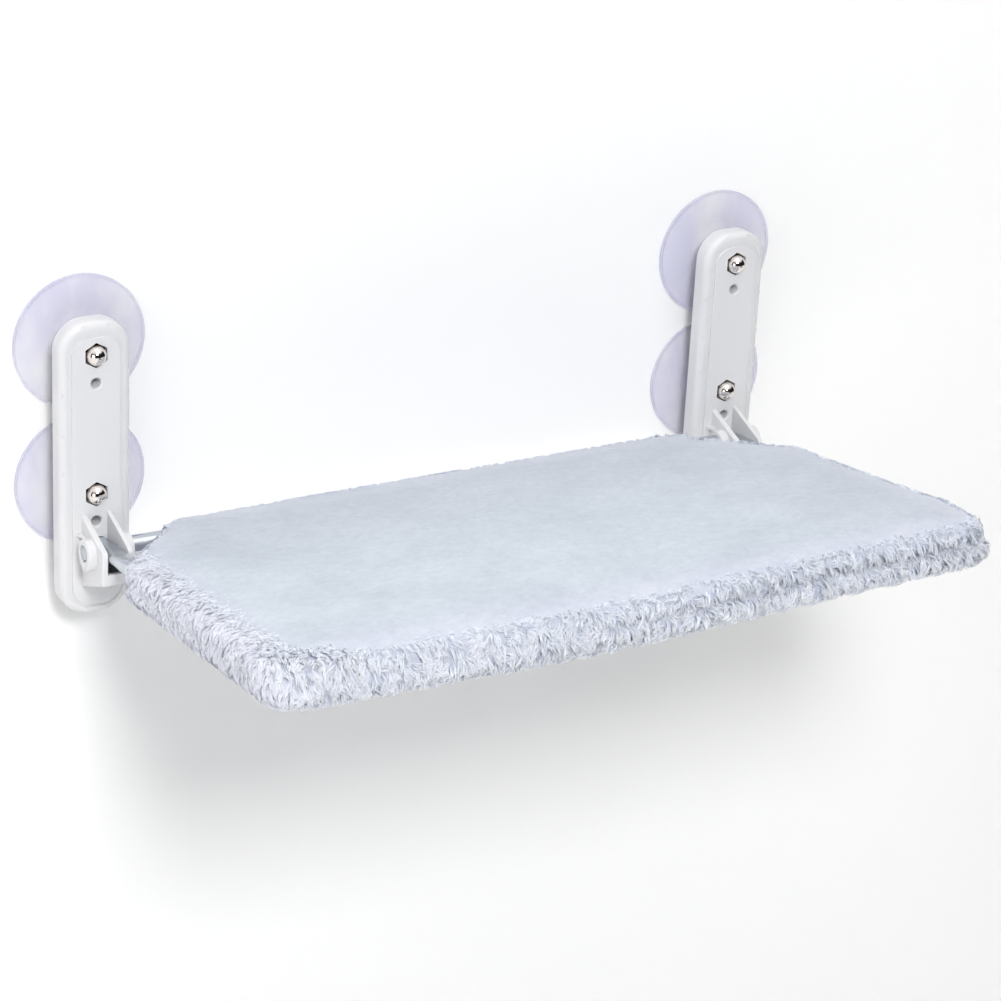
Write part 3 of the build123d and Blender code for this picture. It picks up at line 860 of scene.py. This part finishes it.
def hair_lines(places, normals, comb, size, curly, flat, upright, rounding):
    """Centre lines of the hairs of each clump: apart at their roots and together at their tips."""
    count = len(places)
    grid = (count, clump_hairs)
    across = np.cross(normals, comb)
    turn = rng.random(grid) * 2 * pi
    spread = clump_radius * np.sqrt(rng.random(grid))
    offset = (spread * np.cos(turn))[..., None] * comb[:, None]
    offset += (spread * np.sin(turn))[..., None] * across[:, None]
    vigour = size * rng.uniform(*clump_lengths, count) * blend(1, upright_length, upright)
    length = hair_length * vigour[:, None] * rng.uniform(*hair_lengths, grid)
    lift = hair_lift * blend(small_lift, 1, size) * blend(1, upright_lift, upright)
    lift *= blend(soft_lift, 1, curly) * blend(1, flat_lift, flat)
    lift = lift[:, None] * rng.uniform(*hair_lifts, grid)
    phase = rng.random(count)[:, None] * 2 * pi + phase_scatter * rng.normal(size=grid)
    swing = hair_swing * (size * blend(soft_swing, 1, curly))[:, None]
    swing = swing * rng.uniform(*hair_swings, grid)
    lines = []
    for step in range(hair_steps + 1):
        t = step / hair_steps
        ahead = length * t
        rise = lift * sin(pi / 2 * min(1, t / hair_peak)) * (1 - hair_droop * max(0, t - hair_peak))
        rise = rise - root_depth - ahead**2 * rounding[:, None] / 2
        aside = swing * (np.sin(phase + hair_wave * t) - np.sin(phase))
        lines.append(
            places[:, None] + offset * (1 - tip_gather * t) + rise[..., None] * normals[:, None]
            + ahead[..., None] * comb[:, None] + aside[..., None] * across[:, None]
        )
    lines = np.stack(lines, 2).reshape(-1, hair_steps + 1, 3)
    return lines, np.repeat(normals, clump_hairs, axis=0)


def hair_colours(curly, like_nap, crease_shade):
    """Colour of each hair at each of its stations, as (hair, station, channel)."""
    t = np.linspace(0, 1, hair_steps + 1)
    soft, tight, short = (
        np.stack([np.interp(t, colour_places, channel) for channel in zip(*colours)], -1)
        for colours in (pile_soft, pile_curly, pile_nap)
    )
    curly, like_nap, crease_shade = (
        np.repeat(v, clump_hairs)[:, None, None] for v in (curly, like_nap, crease_shade)
    )
    colour = blend(blend(soft, tight, curly), short, like_nap)
    clump = np.repeat(rng.random(len(curly) // clump_hairs), clump_hairs)[:, None, None]
    hair = rng.random(len(curly))[:, None, None]
    depth = blend(*hair_shades, curly) * blend(1, nap_shade, like_nap)
    # The last factor is painted shade along the crease
    return colour * (1 - depth * blend(hair, clump, clump_shade)) * crease_shade


def hair_mesh(name, lines, facing, colours, material):
    """Narrow leaf shaped hairs along centre lines, as one mesh."""
    number = len(lines)
    along = unit(np.gradient(lines, axis=1))
    side = unit(np.cross(along, facing[:, None]))
    stations = []
    for step, share in enumerate(hair_widths):
        half = side[:, step] * hair_width * share / 2
        stations += [lines[:, step] - half, lines[:, step] + half]
    stations.append(lines[:, -1])
    each = len(stations)
    places = np.stack(stations, 1).reshape(-1, 3)
    quads = [(2 * k, 2 * k + 1, 2 * k + 3, 2 * k + 2) for k in range(hair_steps - 1)]
    start = (np.arange(number) * each)[:, None, None]
    quads = (np.array(quads)[None] + start).reshape(-1, 4)
    tips = (np.array([(each - 3, each - 2, each - 1)])[None] + start).reshape(-1, 3)
    mesh = bpy.data.meshes.new(name)
    mesh.vertices.add(len(places))
    mesh.vertices.foreach_set("co", places.astype(np.float32).ravel())
    corners = np.concatenate([quads.ravel(), tips.ravel()])
    mesh.loops.add(len(corners))
    mesh.loops.foreach_set("vertex_index", corners.astype(np.int32))
    mesh.polygons.add(len(quads) + len(tips))
    starts = np.concatenate([np.arange(len(quads)) * 4, quads.size + np.arange(len(tips)) * 3])
    mesh.polygons.foreach_set("loop_start", starts.astype(np.int32))
    mesh.update(calc_edges=True)
    mesh.validate()
    colour = np.ones((number, each, 4), np.float32)
    colour[:, :, :3] = colours[:, [k // 2 for k in range(each)]]
    layer = mesh.color_attributes.new("pile", "FLOAT_COLOR", "POINT")
    layer.data.foreach_set("color", colour.ravel())
    mesh.shade_smooth()
    piece = new_object(name, mesh)
    wear(piece, material)
    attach(piece, "platform")


def plush_pile():
    """Long pile round the rim of the cover, in pieces by the side of the bed they are on."""
    places, normals, comb, size, curly, like_nap, flat, upright, rounding, crease_shade = pile_clumps()
    lines, facing = hair_lines(places, normals, comb, size, curly, flat, upright, rounding)
    colours = hair_colours(curly, like_nap, crease_shade)
    x, reach = np.repeat(places[:, 0], clump_hairs), np.repeat(places[:, 1], clump_hairs)
    facing = unit(to_room(facing) - to_room(np.zeros(3)))
    tilt = np.repeat(blend(*hair_tilts, curly), clump_hairs)[:, None]
    facing += tilt * rng.normal(size=facing.shape)
    lines = to_room(lie(lines))
    front = reach > pile_front_piece
    rear = (reach < bed_notch_reach - bed_rear_reach) & ~front
    side = ~front & ~rear
    material = long_pile("plush_pile")
    for edge, along in (("front_", front), ("", side), ("rear_", rear)):
        for way, half in (("left", x < 0), ("right", x >= 0)):
            part = along & half
            hair_mesh(f"pile_{edge}{way}", lines[part], facing[part], colours[part], material)


plush_pile()
move_vertices(skin, to_room(lie(to_bed(vertex_values(skin, "co")))))
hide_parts("cushion_cover")
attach(skin, "platform")


def base_seam():
    """Cord of stitching where the woven base meets the plush."""
    ring = bed_ring(base_inset)
    line = np.column_stack([ring, np.full(len(ring), -skin_low)])
    vertices, faces = sweep([to_room(lie(line))], seam_radius, 6, closed=True)
    material = woven("seam_thread", (0.42, 0.45, 0.52), (0.5, 0.53, 0.6), seam_thread)
    piece = new_piece("base_seam", vertices, faces, material)
    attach(piece, "platform")


base_seam()


def sleeve(name, side):
    """Gathered end of the cover's sleeve round the cross tube, at a rear corner."""
    stations, around = 10, 56
    vertices = []
    for i in range(stations):
        t = i / (stations - 1)
        x = sleeve_start + t * (sleeve_end - sleeve_start)
        for k in range(around):
            turn = 2 * pi * k / around
            ruffle = sin(sleeve_ruffles * turn + 2.0 * t) + 0.5 * sin(3 * turn + 5.0 * t)
            radius = sleeve_radius + sleeve_ruffle * t * ruffle + sleeve_flare * t * t
            wave = sleeve_wave * t * sin(4 * turn + 1.0)
            vertices.append((side * (x + wave), radius * cos(turn), radius * sin(turn)))
    piece = new_piece(name, to_room(vertices), grid_faces(stations, around), sleeve_nap)
    apply_modifier(piece, "cloth", "SOLIDIFY", thickness=cloth)
    paint(piece, "rim", np.full(len(piece.data.vertices), 0.35))
    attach(piece, "platform")


sleeve_nap = nap("sleeve_nap")
sleeve("sleeve_left", -1)
sleeve("sleeve_right", 1)


def ring_area(points):
    """Area inside a closed line."""
    x, y = points.T
    return abs(np.dot(x, np.roll(y, -1)) - np.dot(y, np.roll(x, -1))) / 2


def sling():
    """Cloth under the foam, with hems round the tubes."""
    places = []
    for inset, share in zip(sling_insets, sling_sag_shares):
        ring = bed_ring(bed_side + inset, max(frame_bend - inset, tight_corner))
        places += [(x, max(reach, 0.0), -hem_radius - sling_sag * share) for x, reach in ring]
    count = len(ring)
    faces = grid_faces(len(sling_insets), count)
    faces.append(tuple(len(places) - count + i for i in range(count)))
    area = ring_area(bed_ring(bed_side, frame_bend))
    front_half = tube_x - frame_bend - hem_stop
    side_end = front_tube - frame_bend - hem_stop
    rear_half = side_edge - bed_notch_width - hem_stop
    for start, end in (
        ((-front_half, front_tube, 0), (front_half, front_tube, 0)),
        ((-tube_x, side_hem_start, 0), (-tube_x, side_end, 0)),
        ((tube_x, side_hem_start, 0), (tube_x, side_end, 0)),
        ((-rear_half, 0, 0), (rear_half, 0, 0)),
    ):
        line = np.linspace(start, end, 24)
        vertices, hem_faces = sweep([line], hem_radius, 20)
        first = len(places)
        places += [tuple(v) for v in vertices]
        faces += [tuple(first + i for i in face) for face in hem_faces if len(face) == 4]
        area += 2 * pi * hem_radius * hypot(*(np.array(end) - start))
    material = woven("sling_weave", (0.10, 0.11, 0.13), (0.16, 0.17, 0.19), sling_thread)
    piece = new_piece("sling_cloth", to_room(places), faces, material)
    apply_modifier(piece, "cloth", "SOLIDIFY", thickness=sling_thickness, offset=1.0)
    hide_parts("support_sling")
    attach(piece, "platform")


sling()


def foam():
    """Foam pad between the tubes, with soft edges."""
    rows = [(inset, foam_top) for inset in foam_top_insets]
    rows += [(foam_soft, foam_top), (foam_cut, foam_top - foam_cut), (0.0, foam_top - foam_soft)]
    rows += [(0.0, foam_soft - foam_low), (foam_cut, foam_cut - foam_low), (foam_soft, -foam_low)]
    rows += [(inset, -foam_low) for inset in foam_low_insets]
    rings = []
    for inset, height in rows:
        ring = bed_ring(foam_edge + inset, foam_corner)
        ring[:, 1] = np.maximum(ring[:, 1], foam_rear + min(inset, foam_soft))
        rings.append(np.column_stack([ring, np.full(len(ring), height)]))
    vertices, faces = layered(rings)
    piece = new_piece("foam_pad", vertices, faces, open_foam("foam_cells"))
    face_outward(piece)
    apply_modifier(piece, "cells", "REMESH", mode="VOXEL", voxel_size=skin_cell)
    apply_modifier(piece, "rounder", "SUBSURF", levels=1, render_levels=1)
    piece.data.shade_smooth()
    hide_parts("foam_core")
    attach(piece, "platform")


foam()


def zip_parts():
    """Two woven tapes under the cover, and the two interlocked coils between them."""
    inner, outer = tape_gap / 2, zip_width / 2
    places, faces = [], []
    for side in (-1, 1):
        faces += grid_faces(tape_steps + 1, len(tape_shares), len(places), closed=False)
        for i in range(tape_steps + 1):
            x = (i / tape_steps - 0.5) * zip_length
            for share in tape_shares:
                ripple = tape_ripple * sin(x / tape_ripple_length + 2.0 * side) * share
                across = side * (inner + share * (outer - inner))
                places.append((x, zip_reach + across, -bed_bottom + tape_lift + ripple))
    material = woven("zip_weave", (0.44, 0.50, 0.58), (0.52, 0.58, 0.66), tape_thread)
    tape = new_piece("zip_tapes", to_room(places), faces, material)
    apply_modifier(tape, "cloth", "SOLIDIFY", thickness=tape_thickness, offset=0.0)
    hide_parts("cover_zip")
    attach(tape, "platform")
    turns = int(zip_length / coil_pitch) - 2
    coils = []
    for side in (-1, 1):
        line = []
        for i in range(turns * coil_steps):
            turn = 2 * pi * i / coil_steps + (pi if side > 0 else 0)
            x = (i / coil_steps - turns / 2) * coil_pitch
            across = side * (coil_offset + coil_half_width * cos(turn))
            height = coil_half_height * sin(turn) - bed_bottom - coil_drop
            line.append((x, zip_reach + across, height))
        coils.append(to_room(line))
    vertices, faces = sweep(coils, coil_wire, 5)
    material = plastic("coil_nylon", (0.46, 0.52, 0.60), (0.54, 0.60, 0.68), (0.3, 0.4))
    piece = new_piece("zip_coils", vertices, faces, material)
    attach(piece, "platform")


zip_parts()

# Materials of the solid pieces
white_plastic = plastic("bracket_plastic", (0.705, 0.706, 0.722), (0.725, 0.726, 0.742), (0.36, 0.46))
black_plastic = plastic("heel_plastic", (0.006, 0.006, 0.006), (0.010, 0.010, 0.010), (0.5, 0.6))
nickel = domed_nickel("nickel_plate", -painted_shade_depth)
zinc = metal("zinc_plate", (0.52, 0.56, 0.60), (0.60, 0.64, 0.68), (0.20, 0.30), 150.0, (0.2, 1.0, 1.0))
bolt_zinc = metal("bolt_zinc", (0.42, 0.46, 0.50), (0.58, 0.62, 0.66), (0.18, 0.3))
enamel = plastic("zip_enamel", (0.42, 0.48, 0.56), (0.48, 0.54, 0.62), (0.3, 0.4))
for material, nodes in (
    (white_plastic, ("bracket_left", "bracket_right")),
    (nickel, ("cup_studs", "cap_nuts")),
    (bolt_zinc, ("hinge_bolt_left", "hinge_bolt_right", "tube_plug_left", "tube_plug_right")),
    (zinc, ("cross_tube", "frame_tube")),
    (black_plastic, ("heel_plug_left", "heel_plug_right")),
    (enamel, ("zip_slider",)),
):
    for node in nodes:
        wear(frame["nodes"][node], material)
for node, piece in frame["nodes"].items():
    if node.startswith("suction_cup"):
        low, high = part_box(node)
        centre = ((low[0] + high[0]) / 2, 0.0, (low[2] + high[2]) / 2)
        wear(piece, clear_cup(f"{node}_plastic", centre))


# Stage
wall_gap = 0.0006
stage_half = 4.0  # half the stage's width
floor_level = -0.75
backdrop_grey = 0.93
wall_glow = 0.04
floor_glow = 0.55
floor_grey = 0.45
world_light = 0.33
world_dark = 0.12
mirror_above = 0.95  # what glossy things reflect of the room
mirror_dark = 0.02
mirror_below = 0.65


def backdrop_material(name, seen_glow, seen_grey):
    """White for the camera, with the shadows that fall on it, and clear from behind."""
    material, tree, shader = new_material(name)
    rays = add(tree, "LightPath").outputs
    # It counts as seen in a reflection and through something clear too
    seen = rays["Is Camera Ray"]
    for kind in ("Is Glossy Ray", "Is Transmission Ray"):
        seen = add(tree, "Math", seen, rays[kind], operation="MAXIMUM").outputs[0]
    grey = between(tree, seen, backdrop_grey, seen_grey)
    put(shader, base_color=grey, roughness=1.0, specular_ior_level=0.0)
    glow = add(tree, "Emission", strength=between(tree, seen, 0.0, seen_glow))
    front = add(tree, "AddShader", shader.outputs[0], glow.outputs[0]).outputs[0]
    clear = add(tree, "BsdfTransparent").outputs[0]
    behind = add(tree, "NewGeometry").outputs["Backfacing"]
    both = add(tree, "MixShader", behind, front, clear).outputs[0]
    put(tree.nodes["Material Output"], surface=both)
    return material


def stage_sheets():
    """A wall behind the window's plane and a floor. Both face the object."""
    half, low = stage_half, floor_level
    wall = [(x, wall_gap, z) for x, z in ((-half, low), (half, low), (half, half), (-half, half))]
    floor = [(x, y, low) for x, y in ((-half, -half), (half, -half), (half, half), (-half, half))]
    for name, corners, glow, grey in (
        ("wall", wall, wall_glow, backdrop_grey), ("floor", floor, floor_glow, floor_grey),
    ):
        material = backdrop_material(f"{name}_white", glow, grey)
        new_piece(name, corners, [tuple(range(len(corners)))], material, smooth=False)


stage_sheets()


def studio_world():
    """Soft white light from above and below, with a dim band between them, as a studio has."""
    world = bpy.data.worlds.new("studio")
    bpy.context.scene.world = world
    world.use_nodes = True
    tree = world.node_tree
    place = add(tree, "TexCoord").outputs["Generated"]
    height = add(tree, "SeparateXYZ", place).outputs["Z"]
    level = add(tree, "MapRange", height, from_min=-1.0).outputs["Result"]
    grey, dim = (world_light,) * 3, (world_dark,) * 3
    above, dark, below = (mirror_above,) * 3, (mirror_dark,) * 3, (mirror_below,) * 3
    bands = ramp(tree, level, [(0.28, grey), (0.42, dim), (0.58, dim), (0.70, grey)])
    mirrored = ramp(tree, level, [(0.36, below), (0.44, dark), (0.74, dark), (0.83, above)])
    rays = add(tree, "LightPath").outputs
    colour = mix(tree, "MIX", rays["Is Glossy Ray"], bands, mirrored)
    colour = mix(tree, "MIX", rays["Is Camera Ray"], colour, (1.0, 1.0, 1.0, 1.0))
    put(tree.nodes["Background"], color=colour)


studio_world()

lamp_target = Vector((0.0, -0.15, -0.05))
lamps = {  # place, size and power
    "key": ((-0.66, -2.43, 1.78), 0.70, 56.0),
    "fill": ((-2.3, -1.5, 0.3), 1.6, 12.0),
    "top": ((0.0, -0.8, 2.6), 2.0, 18.0),
}
for name, (place, size, power) in lamps.items():
    data = bpy.data.lights.new(name, "AREA")
    data.size = size
    data.energy = power
    lamp = new_object(name, data)
    lamp.location = place
    lamp.rotation_euler = (lamp_target - Vector(place)).to_track_quat("-Z", "Y").to_euler()

# Camera
data = bpy.data.cameras.new("camera")
data.sensor_width = sensor_width
data.lens = focal_length * sensor_width / image_size
camera = new_object("camera", data)
camera.matrix_world = (
    Matrix.Translation(camera_place)
    @ Matrix.Rotation(-camera_yaw, 4, "Z")
    @ Matrix.Rotation(pi / 2 - camera_pitch, 4, "X")
    @ Matrix.Rotation(camera_roll, 4, "Z")
)
bpy.context.scene.camera = camera
bpy.context.scene.view_settings.view_transform = "Standard"
